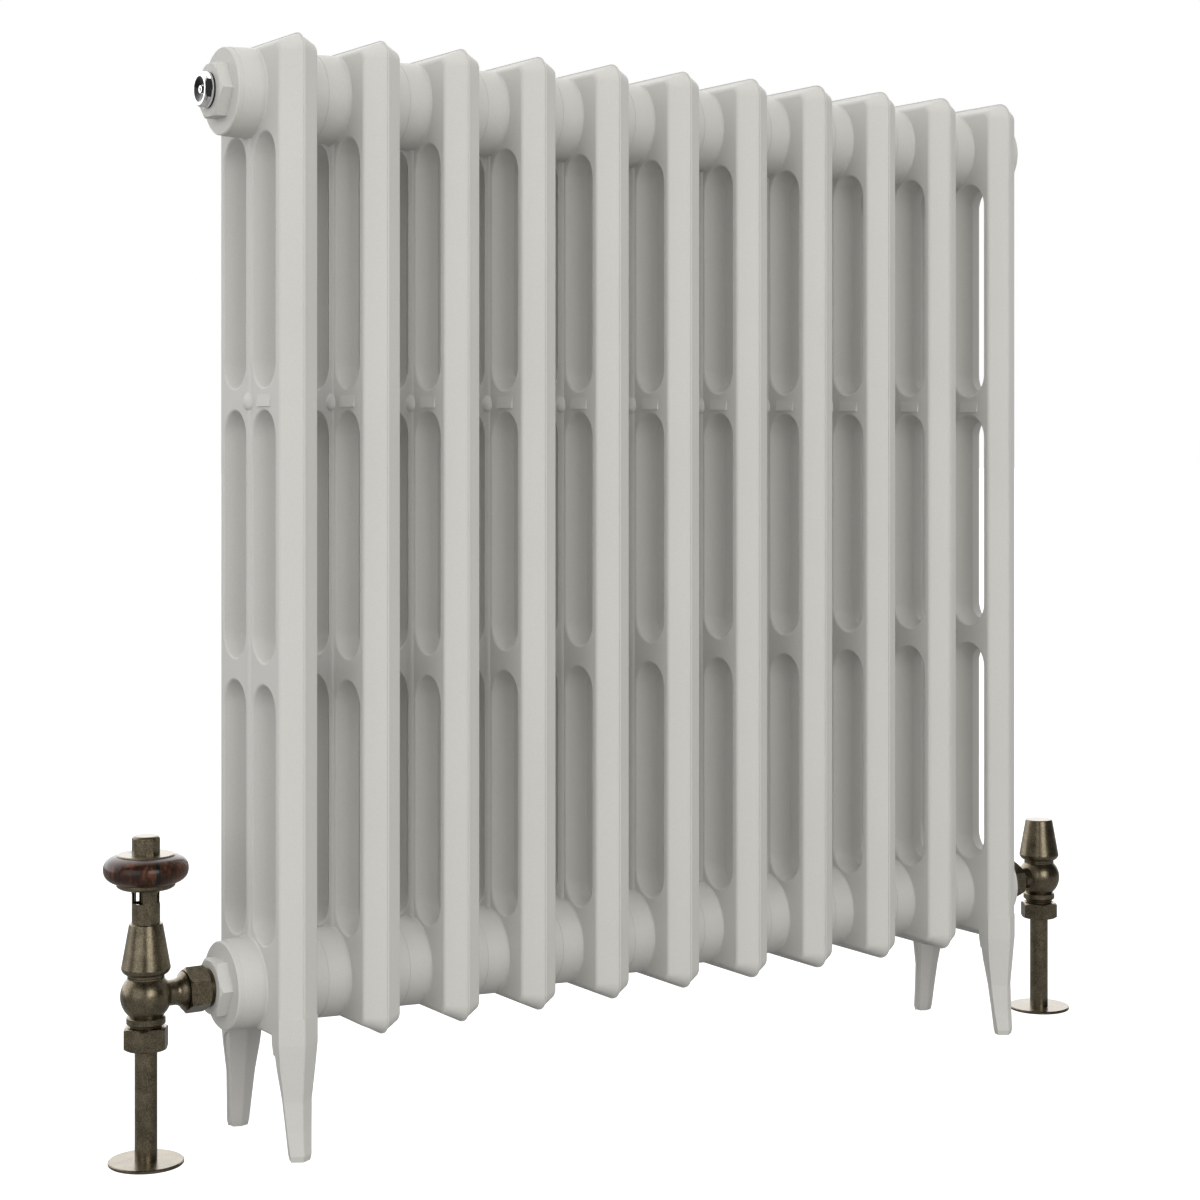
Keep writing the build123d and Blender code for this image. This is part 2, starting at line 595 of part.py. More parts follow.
def valve_body(side):
    """A valve body: threaded inlet neck, ball, branch towards the radiator and a seat."""
    plane = upright(side * VALVE_X[side])
    branch = branch_plane(side)
    neck_joint_z = HUB_LOW_Z + math.sqrt(BALL_R**2 - NECK_R**2)
    with BuildPart() as body:
        with BuildSketch(plane):
            with BuildLine():
                Polyline(
                    (0, NECK_TOP_Z),
                    (0, OLIVE_Z[0] + 3),
                    (THREAD_R - 1.2, OLIVE_Z[0] + 3),
                    (THREAD_R - 1.2, THREAD_TOP_Z),
                    (LOWER_NECK_R - 0.6, THREAD_TOP_Z),
                    (LOWER_NECK_R, THREAD_TOP_Z + 0.6),
                    (LOWER_NECK_R, NECK_TOP_Z - 0.4),
                    (LOWER_NECK_R - 0.4, NECK_TOP_Z),
                    (ball_radius(NECK_TOP_Z + 1.0), NECK_TOP_Z + 1.0),
                )
                ThreePointArc(
                    (ball_radius(NECK_TOP_Z + 1.0), NECK_TOP_Z + 1.0),
                    (BALL_R, HUB_LOW_Z),
                    (NECK_R, neck_joint_z),
                )
                Polyline(
                    (NECK_R, neck_joint_z),
                    (NECK_R, BODY_TOP_Z),
                    (0, BODY_TOP_Z),
                    (0, NECK_TOP_Z),
                )
            make_face()
        revolve(axis=Axis(plane.origin, (0, 0, 1)))
        # Turns of the external thread that show above the compression nut.
        for turn in range(3):
            z = NUT_NECK_Z - 1 + THREAD_PITCH * (turn + 0.5)
            with BuildSketch(plane):
                with BuildLine():
                    Polyline(
                        (THREAD_R - 1.4, z - THREAD_PITCH / 2),
                        (THREAD_R, z - 0.15),
                        (THREAD_R, z + 0.15),
                        (THREAD_R - 1.4, z + THREAD_PITCH / 2),
                        close=True,
                    )
                make_face()
            revolve(axis=Axis(plane.origin, (0, 0, 1)))
        # Branch with its flared end inside the union nut.
        with BuildSketch(branch):
            with BuildLine():
                Polyline(
                    (0, VALVE_REACH),
                    (0, STUB_SEAT),
                    (STUB_FLANGE_R - 1.6, STUB_SEAT),
                    (STUB_FLANGE_R - 1.6, STUB_FLANGE[0]),
                    (STUB_FLANGE_R, STUB_FLANGE[0] + 0.8),
                )
                ThreePointArc(
                    (STUB_FLANGE_R, STUB_FLANGE[0] + 0.8),
                    (STUB_R + 1.2, STUB_FLANGE[1] + 0.6),
                    (STUB_R, STUB_FLANGE[1] + 4),
                )
                Polyline((STUB_R, STUB_FLANGE[1] + 4), (STUB_R, VALVE_REACH), (0, VALVE_REACH))
            make_face()
        revolve(axis=Axis(branch.origin, branch.y_dir))
        # Pipe socket, seat bore, chamber above the seat and branch bore.
        for bore_r, low, high in (
            (SOCKET_R, OLIVE_Z[0], SOCKET_FLOOR_Z),
            (SEAT_R, SOCKET_FLOOR_Z - 1, SEAT_Z + 1),
            (BODY_CAVITY_R, SEAT_Z - 0.05, BODY_TOP_Z + 1),
        ):
            with BuildSketch(Plane(origin=(side * VALVE_X[side], 0, low))):
                Circle(bore_r)
            extrude(amount=high - low, mode=Mode.SUBTRACT)
        with BuildSketch(Plane(branch.origin + branch.y_dir * STUB_SEAT, z_dir=branch.y_dir)):
            Circle(BRANCH_BORE_R)
        extrude(amount=VALVE_REACH - STUB_SEAT, mode=Mode.SUBTRACT)
        # Cone that the olive is squeezed into.
        with BuildSketch(plane):
            with BuildLine():
                Polyline(
                    (0, OLIVE_Z[0] + 2.9),
                    (SOCKET_R + 1.4, OLIVE_Z[0] + 2.9),
                    (SOCKET_R, OLIVE_Z[1] + 0.4),
                    (0, OLIVE_Z[1] + 0.4),
                    close=True,
                )
            make_face()
        revolve(axis=Axis(plane.origin, (0, 0, 1)), mode=Mode.SUBTRACT)
    return body.part


olives = []
tail_seals = []
for side, hand, valve in ((-1, "left", "thermostatic"), (1, "right", "lockshield")):
    axis_plane = upright(side * VALVE_X[side])
    union_plane = branch_plane(side)
    nut_foot, nut_top = NUT_Z[side]
    save(tube(axis_plane, PIPE_BORE_R, PIPE_R, 0, PIPE_TOP_Z), f"supply_pipe_{hand}")
    floor_collar = turned(
        axis_plane,
        (PIPE_R + 0.08, 0),
        (COLLAR_R - 0.4, 0),
        (COLLAR_R, 0.4),
        (COLLAR_R, COLLAR_HEIGHT - 0.6),
        (COLLAR_R - 0.6, COLLAR_HEIGHT),
        (PIPE_R + 0.08, COLLAR_HEIGHT),
    )
    save(floor_collar, f"floor_collar_{hand}")
    nut_shell = hex_nut(axis_plane, NUT_AF, nut_foot, nut_top, PIPE_R + 0.2)
    nut_cavity = turned(
        axis_plane,
        (0, OLIVE_Z[0]),
        (PIPE_R + 1.3, OLIVE_Z[0]),
        (THREAD_R + 0.05, OLIVE_Z[0] + 2.6),
        (THREAD_R + 0.05, nut_top + 1),
        (0, nut_top + 1),
    )
    with BuildPart() as compression_nut:
        add(nut_shell)
        add(nut_cavity, mode=Mode.SUBTRACT)
    save(compression_nut.part, f"compression_nut_{hand}")
    olives.append(
        turned(
            axis_plane,
            (PIPE_R + 0.02, OLIVE_Z[0] + 0.2),
            (PIPE_R + 0.7, OLIVE_Z[0] + 0.2),
            (PIPE_R + 1.35, OLIVE_Z[0] + 2.7),
            (PIPE_R + 0.2, OLIVE_Z[1]),
            (PIPE_R + 0.02, OLIVE_Z[1]),
        )
    )
    save(valve_body(side), f"{valve}_valve_body")
    union_shell = hex_nut(union_plane, UNION_AF, UNION_NUT[0], UNION_NUT[1], TAIL_R + 0.2)
    union_cavity = tube(union_plane, 0, STUB_FLANGE_R - 1.55, TAIL_COLLAR[0] - 0.1, UNION_NUT[1] + 1)
    with BuildPart() as union_nut:
        add(union_shell)
        add(union_cavity, mode=Mode.SUBTRACT)
    save(union_nut.part, f"union_nut_{hand}")
    # The tail has a shoulder wherever the union nut stands clear of the bush.
    bush_end = BUSH_HEX_END + UNION_DEPTH[side]
    shoulder = ()
    if UNION_NUT[0] - bush_end > 1:
        shoulder = ((TAIL_SHOULDER_R, bush_end + 0.1), (TAIL_SHOULDER_R, UNION_NUT[0] - 0.1))
    radiator_tail = turned(
        union_plane,
        (BRANCH_BORE_R, bush_end - 18),
        (HALF_INCH_R - 1, bush_end - 18),
        (HALF_INCH_R, bush_end - 17),
        (HALF_INCH_R, bush_end),
        *shoulder,
        (TAIL_R, UNION_NUT[0]),
        (TAIL_R, TAIL_COLLAR[0]),
        (STUB_FLANGE_R - 1.8, TAIL_COLLAR[0]),
        (STUB_FLANGE_R - 1.8, TAIL_COLLAR[1]),
        (BRANCH_BORE_R, TAIL_COLLAR[1]),
    )
    save(radiator_tail, f"radiator_tail_{hand}")
    seal_start = BUSH_HEX_END - SEAL_THICK + 0.02
    tail_seals.append(
        tube(outward(side, HUB_LOW_Z), HALF_INCH_R + 0.05, TAIL_SEAL_R - 0.05, seal_start, BUSH_HEX_END)
    )
save(Compound(olives), "compression_olives")
save(Compound(tail_seals), "tail_seal_rings")


CONE_SHOULDER_Z = 131.0


def cone_shroud(side, inner, top_edge):
    """The cone-shaped shroud that stands on a valve body, with the given inner outline."""
    plane = upright(side * VALVE_X[side])
    with BuildPart() as cone:
        with BuildSketch(plane):
            with BuildLine():
                Polyline(
                    (inner[0][0], BODY_TOP_Z + 0.3),
                    (NECK_R, BODY_TOP_Z + 0.3),
                    (NECK_R, BODY_TOP_Z + 1.5),
                )
                ThreePointArc(
                    (NECK_R, BODY_TOP_Z + 1.5),
                    (CONE_LOW_R - 0.9, BODY_TOP_Z + 3.6),
                    (CONE_LOW_R, CONE_SHOULDER_Z),
                )
                Polyline(
                    (CONE_LOW_R, CONE_SHOULDER_Z),
                    (CONE_HIGH_R, HEAD_TOP_Z - top_edge),
                    (CONE_HIGH_R - top_edge, HEAD_TOP_Z),
                    *inner[::-1],
                )
            make_face()
        revolve(axis=Axis(plane.origin, (0, 0, 1)))
    return cone.part


# ---------------------------------------------------------------- thermostatic valve, inside
TRV_SIDE = -1
TRV_X = TRV_SIDE * VALVE_X[TRV_SIDE]
TRV_PLANE = upright(TRV_X)
TRV_AXIS = Axis((TRV_X, 0, 0), (0, 0, 1))
DISC_Z = (SEAT_Z + VALVE_TRAVEL, SEAT_Z + VALVE_TRAVEL + 2.0)    # rubber washer, valve open
DISC_R = 6.6
INSERT_Z = (117.0, 129.0)         # gland insert screwed into the top of the body
SPRING_Z = (DISC_Z[1] + 1.2, INSERT_Z[0])
SPRING_R = 4.6
SPRING_WIRE_R = 0.5
SPRING_TURNS = 4
SHROUD_ROOF_Z = HEAD_TOP_Z - 2.5
CAPSULE_Z = (134.0, 156.5)
CAPSULE_R = 7.6
CAPSULE_STEM = (2.9, 164.0)       # radius and top of the stem inside the wheel hub
PIN_TOP_Z = CAPSULE_Z[0]
HUB_R = 4.5
HUB_Z = (160.0, WHEEL_LOW_DISC_Z[0])
GUIDE_Z = (164.5, 172.0)
CLIP_Z = (162.6, 163.8)

gland_insert = turned(
    TRV_PLANE,
    (PIN_R + 0.05, INSERT_Z[0]),
    (BODY_CAVITY_R - THREAD_PLAY, INSERT_Z[0]),
    (BODY_CAVITY_R - THREAD_PLAY, BODY_TOP_Z),
    (10.0, BODY_TOP_Z),
    (10.0, INSERT_Z[1] - 1.0),
    (9.0, INSERT_Z[1]),
    (4.4, INSERT_Z[1]),
    (4.4, INSERT_Z[1] - 3.2),
    (PIN_R + 0.05, INSERT_Z[1] - 3.2),
)
save(gland_insert, "thermostatic_gland_insert")
save(tube(TRV_PLANE, PIN_R + 0.05, 4.3, INSERT_Z[1] - 3.2, INSERT_Z[1] - 0.4), "thermostatic_pin_seal")

# The pin carries the disc holder at its foot and is pushed down by the sensor capsule.
valve_pin = turned(
    TRV_PLANE,
    (0, DISC_Z[0] - 1.2),
    (2.4, DISC_Z[0] - 1.2),
    (2.4, DISC_Z[1]),
    (DISC_R, DISC_Z[1]),
    (DISC_R, DISC_Z[1] + 1.2),
    (PIN_R, DISC_Z[1] + 1.2),
    (PIN_R, PIN_TOP_Z),
    (0, PIN_TOP_Z),
)
save(valve_pin, "thermostatic_valve_pin")
save(tube(TRV_PLANE, 2.45, DISC_R - 0.2, *DISC_Z), "thermostatic_disc_washer")

spring_pitch = (SPRING_Z[1] - SPRING_Z[0] - 2 * SPRING_WIRE_R) / SPRING_TURNS
with BuildPart() as return_spring:
    with BuildLine():
        coil = Helix(
            pitch=spring_pitch,
            height=spring_pitch * SPRING_TURNS,
            radius=SPRING_R,
            center=(TRV_X, 0, SPRING_Z[0] + SPRING_WIRE_R),
        )
    with BuildSketch(Plane(coil @ 0, z_dir=coil % 0)):
        Circle(SPRING_WIRE_R)
    sweep(is_frenet=True)
save(return_spring.part, "thermostatic_return_spring")

# ---------------------------------------------------------------- thermostatic valve, head
shroud = cone_shroud(
    TRV_SIDE,
    (
        (10.1, BODY_TOP_Z + 0.3),
        (10.1, 130.0),
        (12.4, 131.5),
        (8.7, SHROUD_ROOF_Z - 3),
        (SLEEVE_R - 0.75, SHROUD_ROOF_Z),
        (SLEEVE_R - 0.75, HEAD_TOP_Z),
    ),
    0.5,
)
save(shroud, "thermostatic_head_shroud")

# Sleeve and cage: a tube whose top is cut into three flared legs under a ring.
RING_TOP_Z = WHEEL_LOW_DISC_Z[0] - 0.2
CAGE_WALL = 1.6
with BuildPart() as sensor_cage:
    with BuildSketch(TRV_PLANE):
        with BuildLine():
            Polyline(
                (SLEEVE_R - CAGE_WALL, HEAD_TOP_Z),
                (SLEEVE_R, HEAD_TOP_Z),
                (SLEEVE_R, WINDOW_Z[1] - 3.6),
            )
            RadiusArc((SLEEVE_R, WINDOW_Z[1] - 3.6), (SLEEVE_R + 1.5, RING_TOP_Z), 8.0)
            Polyline(
                (SLEEVE_R + 1.5, RING_TOP_Z),
                (HUB_R + 0.1, RING_TOP_Z),
                (HUB_R + 0.1, WINDOW_Z[1]),
                (SLEEVE_R - CAGE_WALL, WINDOW_Z[1]),
                (SLEEVE_R - CAGE_WALL, HEAD_TOP_Z),
            )
        make_face()
    revolve(axis=TRV_AXIS)
    # Three windows between the legs, square at the bottom.
    for third in range(3):
        window_plane = Plane(
            origin=(TRV_X, 0, (WINDOW_Z[0] + WINDOW_Z[1]) / 2),
            z_dir=Vector(1, 0, 0).rotate(Axis.Z, CAGE_LEG_DEG + 60 + 120 * third),
            x_dir=(0, 0, 1),
        )
        with BuildSketch(window_plane):
            Rectangle(WINDOW_Z[1] - WINDOW_Z[0], WINDOW_WIDTH)
        extrude(amount=SLEEVE_R + 3, mode=Mode.SUBTRACT)
save(sensor_cage.part, "thermostatic_sensor_cage")
save(tube(TRV_PLANE, HUB_R + 0.06, SLEEVE_R - CAGE_WALL - 0.03, *GUIDE_Z), "thermostatic_hub_guide")

sensor_capsule = turned(
    TRV_PLANE,
    (0, CAPSULE_Z[0]),
    (CAPSULE_R - 2, CAPSULE_Z[0]),
    (CAPSULE_R, CAPSULE_Z[0] + 2),
    (CAPSULE_R - 0.4, CAPSULE_Z[1] - 6),
    (CAPSULE_STEM[0] + 2, CAPSULE_Z[1]),
    (CAPSULE_STEM[0], CAPSULE_Z[1]),
    (CAPSULE_STEM[0], CAPSULE_STEM[1]),
    (0, CAPSULE_STEM[1]),
)
save(sensor_capsule, "thermostatic_sensor_capsule")

wheel_hub = turned(
    TRV_PLANE,
    (CAPSULE_STEM[0] + 0.06, HUB_Z[0]),
    (HUB_R, HUB_Z[0]),
    (HUB_R, CLIP_Z[0]),
    (HUB_R - 0.5, CLIP_Z[0]),
    (HUB_R - 0.5, CLIP_Z[1]),
    (HUB_R, CLIP_Z[1]),
    (HUB_R, WHEEL_LOW_DISC_Z[1]),
    (HUB_R - 1.6, WHEEL_LOW_DISC_Z[1]),
    (HUB_R - 1.6, WOOD_Z[1] - 0.5),
    (0, WOOD_Z[1] - 0.5),
    (0, CAPSULE_STEM[1] + 3),
    (CAPSULE_STEM[0] + 0.06, CAPSULE_STEM[1] + 3),
)
save(wheel_hub, "wheel_hub")
wheel_clip = tube(TRV_PLANE, HUB_R - 0.45, HUB_R + 1.6, CLIP_Z[0] + 0.1, CLIP_Z[1] - 0.1)
save(wheel_clip, "wheel_retaining_clip")

lower_disc = turned(
    TRV_PLANE,
    (HUB_R + 0.02, WHEEL_LOW_DISC_Z[0]),
    (WHEEL_DISC_R - 2.4, WHEEL_LOW_DISC_Z[0]),
    (WHEEL_DISC_R - 0.6, WHEEL_LOW_DISC_Z[0] + 1.0),
    (WHEEL_DISC_R, WHEEL_LOW_DISC_Z[0] + 1.8),
    (WHEEL_DISC_R, WHEEL_LOW_DISC_Z[1]),
    (HUB_R + 0.02, WHEEL_LOW_DISC_Z[1]),
)
save(lower_disc, "wheel_lower_disc")

WOOD_WIDEST_Z = 196.6
WOOD_BORE_R = 3.2
with BuildPart() as wood_ring:
    with BuildSketch(TRV_PLANE):
        with BuildLine():
            Polyline(
                (WHEEL_DISC_R, WOOD_Z[0]),
                (WOOD_BORE_R, WOOD_Z[0]),
                (WOOD_BORE_R, WOOD_Z[1]),
                (WHEEL_DISC_R, WOOD_Z[1]),
            )
            Spline(
                (WHEEL_DISC_R, WOOD_Z[1]),
                (WOOD_R, WOOD_WIDEST_Z),
                (WHEEL_DISC_R, WOOD_Z[0]),
                tangents=((1, -0.22), (-1, -0.28)),
            )
        make_face()
    revolve(axis=TRV_AXIS)
save(wood_ring.part, "wheel_wood_ring")

INDEX_MARK_DEG = WHEEL_INDEX_DEG + 224
INDEX_MARK_R = 11.8
with BuildPart() as top_plate:
    with BuildSketch(TRV_PLANE):
        with BuildLine():
            Polyline(
                (3.0, WOOD_Z[1]),
                (WHEEL_DISC_R, WOOD_Z[1]),
                (WHEEL_DISC_R, WOOD_Z[1] + 0.4),
                (WHEEL_DISC_R - 0.8, CROWN_Z[0]),
                (3.0, CROWN_Z[0]),
                close=True,
            )
        make_face()
    revolve(axis=TRV_AXIS)
    # Index notch in the plate.
    mark = Vector(INDEX_MARK_R, 0, 0).rotate(Axis.Z, INDEX_MARK_DEG)
    with BuildSketch(Plane(origin=(TRV_X + mark.X, mark.Y, CROWN_Z[0]))):
        SlotOverall(2.6, 0.9, rotation=INDEX_MARK_DEG)
    extrude(amount=-0.6, mode=Mode.SUBTRACT)
save(top_plate.part, "wheel_top_plate")

CROWN_AF = 18.0
CROWN_EDGE = 2.2
with BuildPart() as wheel_crown:
    with BuildSketch(TRV_PLANE):
        with BuildLine():
            Polyline(
                (0, CROWN_Z[1]),
                (0, CROWN_Z[0]),
                (CROWN_R, CROWN_Z[0]),
                (CROWN_R, CROWN_Z[1] - CROWN_EDGE),
            )
            ThreePointArc(
                (CROWN_R, CROWN_Z[1] - CROWN_EDGE),
                (CROWN_R - CROWN_EDGE * 0.293, CROWN_Z[1] - CROWN_EDGE * 0.293),
                (CROWN_R - CROWN_EDGE, CROWN_Z[1]),
            )
            Line((CROWN_R - CROWN_EDGE, CROWN_Z[1]), (0, CROWN_Z[1]))
        make_face()
    revolve(axis=TRV_AXIS)
    with BuildSketch(Plane(origin=(TRV_X, 0, CROWN_Z[0]))):
        RegularPolygon(
            radius=CROWN_AF / 2, side_count=8, major_radius=False, rotation=WHEEL_INDEX_DEG + 22.5
        )
    extrude(amount=CROWN_Z[1] - CROWN_Z[0], mode=Mode.INTERSECT)
save(wheel_crown.part, "wheel_crown")

# ---------------------------------------------------------------- lockshield valve
LOCK_SIDE = 1
LOCK_X = LOCK_SIDE * VALVE_X[LOCK_SIDE]
LOCK_PLANE = upright(LOCK_X)
PLUG_FLOOR_Z = SEAT_Z + LOCKSHIELD_TRAVEL
PLUG_R = 6.6
SPINDLE_R = 3.5
SPINDLE_Z = (PLUG_FLOOR_Z + 2.4, 148.0)
GLAND_Z = (117.0, 137.0)
GLAND_RECESS_Z = 130.0
PACKING_Z = (GLAND_RECESS_Z, 133.5)
SPINDLE_SQUARE = 5.0
CAP_FLOOR_Z = BODY_TOP_Z + 0.3

bonnet = turned(
    LOCK_PLANE,
    (SPINDLE_R + 0.06, GLAND_Z[0]),
    (BODY_CAVITY_R - THREAD_PLAY, GLAND_Z[0]),
    (BODY_CAVITY_R - THREAD_PLAY, BODY_TOP_Z),
    (10.0, BODY_TOP_Z),
    (10.0, GLAND_RECESS_Z),
    (8.2, GLAND_RECESS_Z),
    (8.2, GLAND_Z[1]),
    (6.2, GLAND_Z[1]),
    (6.2, GLAND_RECESS_Z),
    (SPINDLE_R + 0.06, GLAND_RECESS_Z),
)
save(bonnet, "lockshield_bonnet")
save(tube(LOCK_PLANE, SPINDLE_R + 0.04, 6.15, *PACKING_Z), "lockshield_packing_ring")
gland_nut = turned(
    LOCK_PLANE,
    (SPINDLE_R + 0.06, PACKING_Z[1]),
    (6.15, PACKING_Z[1]),
    (6.15, GLAND_Z[1] + 0.2),
    (7.6, GLAND_Z[1] + 0.2),
    (7.6, GLAND_Z[1] + 3.0),
    (SPINDLE_R + 0.06, GLAND_Z[1] + 3.0),
)
save(gland_nut, "lockshield_gland_nut")

# The spindle turns in place; its lower thread drives the plug, which is keyed in the body.
SPINDLE_THREAD_R = 2.6
spindle_shaft = turned(
    LOCK_PLANE,
    (0, SPINDLE_Z[0] + 4),
    (SPINDLE_THREAD_R, SPINDLE_Z[0] + 4),
    (SPINDLE_THREAD_R, GLAND_Z[0] - 1.6),
    (5.0, GLAND_Z[0] - 1.6),
    (5.0, GLAND_Z[0] - 0.1),
    (SPINDLE_R, GLAND_Z[0] - 0.1),
    (SPINDLE_R, GLAND_Z[1] + 4),
    (0, GLAND_Z[1] + 4),
)
with BuildPart() as spindle:
    add(spindle_shaft)
    with BuildSketch(Plane(origin=(LOCK_X, 0, GLAND_Z[1] + 4))):
        Rectangle(SPINDLE_SQUARE, SPINDLE_SQUARE)
    extrude(amount=SPINDLE_Z[1] - GLAND_Z[1] - 4)
save(spindle.part, "lockshield_spindle")

lockshield_plug = turned(
    LOCK_PLANE,
    (0, PLUG_FLOOR_Z - 1.0),
    (2.0, PLUG_FLOOR_Z - 1.0),
    (2.0, PLUG_FLOOR_Z + 1.6),
    (PLUG_R, PLUG_FLOOR_Z + 1.6),
    (PLUG_R, PLUG_FLOOR_Z + 3.0),
    (4.6, PLUG_FLOOR_Z + 3.0),
    (4.6, PLUG_FLOOR_Z + 8.8),
    (SPINDLE_THREAD_R + 0.05, PLUG_FLOOR_Z + 8.8),
    (SPINDLE_THREAD_R + 0.05, PLUG_FLOOR_Z + 2.4),
    (0, PLUG_FLOOR_Z + 2.4),
)
save(lockshield_plug, "lockshield_plug")
plug_washer = tube(LOCK_PLANE, 2.05, PLUG_R - 0.1, PLUG_FLOOR_Z, PLUG_FLOOR_Z + 1.6)
save(plug_washer, "lockshield_plug_washer")

cap = cone_shroud(
    LOCK_SIDE,
    (
        (10.3, CAP_FLOOR_Z),
        (10.3, 132.0),
        (9.4, 152.0),
        (7.0, 156.5),
        (0, 156.5),
        (0, HEAD_TOP_Z),
    ),
    0.5,
)
save(cap, "lockshield_cap")
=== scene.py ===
import json
import math

import bpy
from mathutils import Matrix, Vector


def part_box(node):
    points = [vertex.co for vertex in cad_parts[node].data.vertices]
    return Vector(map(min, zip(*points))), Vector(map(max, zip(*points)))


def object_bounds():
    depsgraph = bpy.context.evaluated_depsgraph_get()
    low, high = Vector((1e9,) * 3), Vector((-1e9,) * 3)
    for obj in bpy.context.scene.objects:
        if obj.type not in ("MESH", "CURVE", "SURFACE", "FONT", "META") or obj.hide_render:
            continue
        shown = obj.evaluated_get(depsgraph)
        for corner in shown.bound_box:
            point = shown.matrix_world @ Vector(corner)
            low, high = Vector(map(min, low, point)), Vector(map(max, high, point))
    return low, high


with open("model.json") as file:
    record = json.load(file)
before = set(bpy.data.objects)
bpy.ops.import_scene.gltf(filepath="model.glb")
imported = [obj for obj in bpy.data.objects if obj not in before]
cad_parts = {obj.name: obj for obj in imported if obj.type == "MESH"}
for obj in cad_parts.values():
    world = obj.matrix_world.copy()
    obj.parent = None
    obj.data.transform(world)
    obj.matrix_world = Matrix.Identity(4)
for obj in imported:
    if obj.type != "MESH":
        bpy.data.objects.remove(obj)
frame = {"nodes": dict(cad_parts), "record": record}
cad_low, cad_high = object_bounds()

NODES = frame["nodes"]
SLOT_OF = {part["node"]: part["material_slot"] for part in frame["record"]["subparts"]}

# Linear colours.
PAINT_DARK = (0.562, 0.553, 0.524)
PAINT_LIGHT = (0.640, 0.630, 0.598)
BRASS_DARK = (0.085, 0.070, 0.046)
BRASS_MIDDLE = (0.165, 0.138, 0.092)
BRASS_LIGHT = (0.300, 0.252, 0.165)
OXIDE_DARK = (0.060, 0.048, 0.030)
OXIDE_LIGHT = (0.130, 0.105, 0.066)
IRON_DARK = (0.03, 0.028, 0.026)
IRON_LIGHT = (0.08, 0.075, 0.07)
STEEL_DARK = (0.42, 0.42, 0.43)
STEEL_LIGHT = (0.58, 0.58, 0.60)
CHROME_DARK = (0.80, 0.81, 0.82)
CHROME_LIGHT = (0.90, 0.90, 0.91)
# Painted dark reflection inside the air vent's recess.
PAINTED_RECESS_DARK = (0.030, 0.031, 0.033)
PAINTED_RECESS_LIGHT = (0.055, 0.056, 0.058)
RUBBER_DARK = (0.006, 0.006, 0.006)
RUBBER_LIGHT = (0.016, 0.016, 0.016)
WOOD_DARK = (0.010, 0.003, 0.001)
WOOD_MIDDLE = (0.036, 0.011, 0.004)
WOOD_LIGHT = (0.105, 0.036, 0.014)
STRIPE_COLOUR = (0.004, 0.003, 0.003, 1.0)
FLOOR_DARK = (0.34, 0.34, 0.34)
FLOOR_LIGHT = (0.36, 0.36, 0.36)
WHITE = (1.0, 1.0, 1.0, 1.0)
# Surface patterns, in cycles a metre.
PAINT_GRAIN = 1500.0
PAINT_PEEL = 620.0
PAINT_PATCH = 9.0
BRASS_SPECKLE = 1300.0
BRASS_PATINA = 110.0
METAL_STAIN = 90.0
METAL_LINES = 60.0
CHROME_HAZE = 130.0
RUBBER_BLOOM = 300.0
WOOD_STREAK = 170.0
WOOD_CLOUD = 75.0
FLOOR_TINT = 3.0
# Heights that the patterns stand up by, in metres.
FINE_RELIEF = 0.00002
COARSE_RELIEF = 0.00004
# The wheel's index stripe: its direction, where it starts, half its width, and its soft edge.
STRIPE_DEG = -95.0
STRIPE_FROM = 0.010
STRIPE_HALF = 0.0013
STRIPE_EDGE = 1.25
# The air vent: radius of the recess in its end, inside which a dark reflection is painted, and
# of the bleed screw's head, and their edges.
VENT_RECESS_R = 0.0090
VENT_RECESS_EDGE = 0.0006
VENT_SCREW_R = 0.0026
VENT_SCREW_EDGE = 0.0004
# Brightness of the surroundings: for diffuse light below and above, and behind for metal.
AMBIENT_LOW = 0.57
AMBIENT_HIGH = 0.97
BACKDROP_IN_METAL = 2.2
ROOM_IN_METAL = 0.03
# Softboxes: place, side and power in watts.
KEY_PLACE = (-0.4, -3.8, 1.5)
KEY_SIDE = 2.0
KEY_POWER = 46.0
KEY_TINT = (1.0, 0.99, 0.96)
LEFT_PLACE = (-3.4, -1.7, 1.0)
LEFT_SIDE = 3.2
LEFT_POWER = 40.0
FLOOR_HALF = 30.0
# The camera stands level, in front of the radiator's left end.
CAMERA_PLACE = (-1.0037, -1.4971, 0.4832)
CAMERA_TURN_DEG = -32.68
CAMERA_LENS = 71.04
CAMERA_SENSOR = 36.0
CAMERA_SHIFT = -0.1327
CAMERA_REACH = 100.0
# Input and output sockets of a Mix node: when 0, when 1, and the result.
MIX_SOCKETS = {"FLOAT": (2, 3, 0), "RGBA": (6, 7, 2)}


def middle_of(box):
    """The middle of a piece's box, which is on its axis where the piece is round."""
    low, high = box
    return (Vector(low) + Vector(high)) / 2


# ---------------------------------------------------------------- node helpers
def new_material(name):
    """An empty material with no nodes yet, and its tree."""
    material = bpy.data.materials.new(name)
    material.use_nodes = True
    tree = material.node_tree
    tree.nodes.clear()
    return material, tree


def node(tree, kind, **inputs):
    """Adds a node; inputs are socket names with underscores for spaces."""
    made = tree.nodes.new(kind)
    for key, value in inputs.items():
        made.inputs[key.replace("_", " ")].default_value = value
    return made


def link(tree, source, target):
    """Links one socket to another."""
    tree.links.new(source, target)


def place(tree, scale=(1.0, 1.0, 1.0)):
    """The part's own coordinates, in metres, scaled on each axis."""
    coords = tree.nodes.new("ShaderNodeTexCoord")
    mapping = node(tree, "ShaderNodeMapping", Scale=scale)
    link(tree, coords.outputs["Object"], mapping.inputs["Vector"])
    return mapping.outputs["Vector"]


def noise(tree, where, scale, detail=2.0, roughness=0.5, distortion=0.0):
    """A noise texture's value, 0 to 1."""
    made = node(
        tree,
        "ShaderNodeTexNoise",
        Scale=scale,
        Detail=detail,
        Roughness=roughness,
        Distortion=distortion,
    )
    link(tree, where, made.inputs["Vector"])
    return made.outputs["Fac"]


